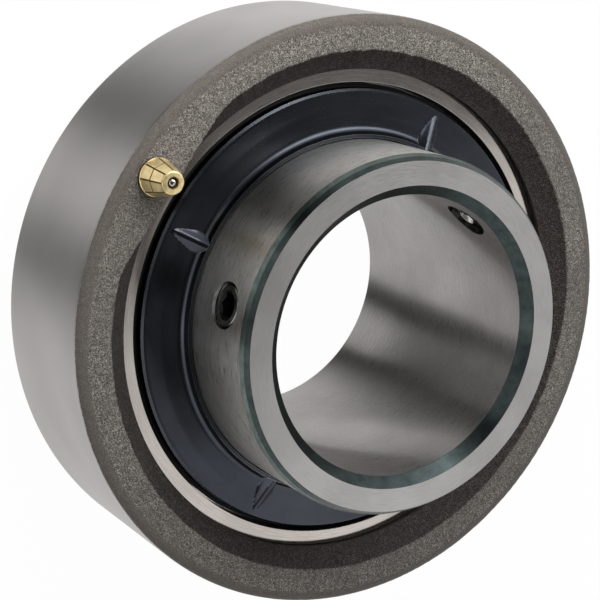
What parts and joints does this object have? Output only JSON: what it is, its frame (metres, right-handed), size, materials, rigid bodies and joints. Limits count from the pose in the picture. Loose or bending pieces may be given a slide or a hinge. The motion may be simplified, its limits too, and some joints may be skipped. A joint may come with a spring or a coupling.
{
  "type": "ball bearing unit",
  "caption": "Self-aligning ball bearing in a round cast iron cartridge housing, with a wide inner ring, set screws, slingers and a grease nipple.",
  "frame": {"origin": "on the bearing's axis, at the rear face of the inner ring, which the unit stands on", "axes": "+Z along the bearing's axis, out of the set screw side; +X towards the locating pin; +Y towards the first loading slot"},
  "size_m": [0.13, 0.13, 0.0651],
  "materials": {
    "housing_iron": "ground outside, rough as cast on the faces and in the recess",
    "outer_ring_steel": "fine ground bearing steel",
    "inner_ring_steel": "ground bearing steel with darker turned chamfers",
    "ball_steel": "polished bearing steel",
    "cage_steel": "pressed sheet steel",
    "rivet_steel": "plain steel",
    "seal_rubber": "moulded nitrile rubber over a steel disc",
    "slinger_steel": "satin blue-black phosphate on pressed sheet",
    "set_screw_steel": "black oxide, with a bright worn point",
    "nipple_brass": "bright yellow passivated, with brass colour",
    "spring_steel": "drawn wire",
    "pin_steel": "plain steel"
  },
  "bodies": {
    "housing": {"housing": "housing_iron", "grease_nipple": "nipple_brass", "nipple_spring": "spring_steel"},
    "nipple_ball": {"nipple_ball": "ball_steel"},
    "locating_pin": {"locating_pin": "pin_steel"},
    "outer_ring": {"outer_ring": "outer_ring_steel", "front_seal": "seal_rubber", "rear_seal": "seal_rubber"},
    "inner_ring": {"inner_ring": "inner_ring_steel", "front_slinger": "slinger_steel", "rear_slinger": "slinger_steel"},
    "set_screw_1": {"set_screw_1": "set_screw_steel"},
    "set_screw_2": {"set_screw_2": "set_screw_steel"},
    "cage": {"cage_front_half": "cage_steel", "cage_rear_half": "cage_steel", "rivet_01": "rivet_steel", "rivet_02": "rivet_steel", "rivet_03": "rivet_steel", "rivet_04": "rivet_steel", "rivet_05": "rivet_steel", "rivet_06": "rivet_steel", "rivet_07": "rivet_steel", "rivet_08": "rivet_steel", "rivet_09": "rivet_steel", "rivet_10": "rivet_steel"},
    "ball_01": {"ball_01": "ball_steel"},
    "ball_02": {"ball_02": "ball_steel"},
    "ball_03": {"ball_03": "ball_steel"},
    "ball_04": {"ball_04": "ball_steel"},
    "ball_05": {"ball_05": "ball_steel"},
    "ball_06": {"ball_06": "ball_steel"},
    "ball_07": {"ball_07": "ball_steel"},
    "ball_08": {"ball_08": "ball_steel"},
    "ball_09": {"ball_09": "ball_steel"},
    "ball_10": {"ball_10": "ball_steel"}
  },
  "joints": [
    {"name": "nipple_valve", "type": "slide", "parent": "housing", "child": "nipple_ball", "axis": [0, 0, -1], "range_m": [0, 0.0008], "stiffness_N_per_m": 100, "springref_m": -0.0005, "deforming": ["nipple_spring"]},
    {"name": "align_along_notch", "type": "hinge", "parent": "housing", "child": "locating_pin", "pos_m": [0, 0, 0.0254], "axis": [0, 1, 0], "range_deg": [-3, 3]},
    {"name": "align_about_pin", "type": "hinge", "parent": "locating_pin", "child": "outer_ring", "pos_m": [0, 0, 0.0254], "axis": [0.9799, 0, -0.1994], "range_deg": [-3, 3]},
    {"name": "inner_ring_spin", "type": "hinge", "parent": "outer_ring", "child": "inner_ring", "pos_m": [0, 0, 0.0254], "axis": [0, 0, 1], "continuous": true},
    {"name": "set_screw_1_travel", "type": "slide", "parent": "inner_ring", "child": "set_screw_1", "axis": [0.9914, -0.1305, 0], "range_m": [-0.003, 0.0015]},
    {"name": "set_screw_2_travel", "type": "slide", "parent": "inner_ring", "child": "set_screw_2", "axis": [-0.6088, -0.7934, 0], "range_m": [-0.003, 0.0015]},
    {"name": "cage_spin", "type": "hinge", "parent": "outer_ring", "child": "cage", "pos_m": [0, 0, 0.0254], "axis": [0, 0, 1], "continuous": true},
    {"name": "ball_01_spin", "type": "hinge", "parent": "cage", "child": "ball_01", "pos_m": [0.043, 0, 0.0254], "axis": [0, 0, 1], "continuous": true},
    {"name": "ball_02_spin", "type": "hinge", "parent": "cage", "child": "ball_02", "pos_m": [0.03479, 0.02527, 0.0254], "axis": [0, 0, 1], "continuous": true},
    {"name": "ball_03_spin", "type": "hinge", "parent": "cage", "child": "ball_03", "pos_m": [0.01329, 0.04089, 0.0254], "axis": [0, 0, 1], "continuous": true},
    {"name": "ball_04_spin", "type": "hinge", "parent": "cage", "child": "ball_04", "pos_m": [-0.01329, 0.04089, 0.0254], "axis": [0, 0, 1], "continuous": true},
    {"name": "ball_05_spin", "type": "hinge", "parent": "cage", "child": "ball_05", "pos_m": [-0.03479, 0.02527, 0.0254], "axis": [0, 0, 1], "continuous": true},
    {"name": "ball_06_spin", "type": "hinge", "parent": "cage", "child": "ball_06", "pos_m": [-0.043, 0, 0.0254], "axis": [0, 0, 1], "continuous": true},
    {"name": "ball_07_spin", "type": "hinge", "parent": "cage", "child": "ball_07", "pos_m": [-0.03479, -0.02527, 0.0254], "axis": [0, 0, 1], "continuous": true},
    {"name": "ball_08_spin", "type": "hinge", "parent": "cage", "child": "ball_08", "pos_m": [-0.01329, -0.04089, 0.0254], "axis": [0, 0, 1], "continuous": true},
    {"name": "ball_09_spin", "type": "hinge", "parent": "cage", "child": "ball_09", "pos_m": [0.01329, -0.04089, 0.0254], "axis": [0, 0, 1], "continuous": true},
    {"name": "ball_10_spin", "type": "hinge", "parent": "cage", "child": "ball_10", "pos_m": [0.03479, -0.02527, 0.0254], "axis": [0, 0, 1], "continuous": true}
  ],
  "couplings": [
    {"joint": "cage_spin", "follows": "inner_ring_spin", "ratio": 0.4077},
    {"joint": "ball_01_spin", "follows": "inner_ring_spin", "ratio": -2.6162},
    {"joint": "ball_02_spin", "follows": "inner_ring_spin", "ratio": -2.6162},
    {"joint": "ball_03_spin", "follows": "inner_ring_spin", "ratio": -2.6162},
    {"joint": "ball_04_spin", "follows": "inner_ring_spin", "ratio": -2.6162},
    {"joint": "ball_05_spin", "follows": "inner_ring_spin", "ratio": -2.6162},
    {"joint": "ball_06_spin", "follows": "inner_ring_spin", "ratio": -2.6162},
    {"joint": "ball_07_spin", "follows": "inner_ring_spin", "ratio": -2.6162},
    {"joint": "ball_08_spin", "follows": "inner_ring_spin", "ratio": -2.6162},
    {"joint": "ball_09_spin", "follows": "inner_ring_spin", "ratio": -2.6162},
    {"joint": "ball_10_spin", "follows": "inner_ring_spin", "ratio": -2.6162}
  ]
}
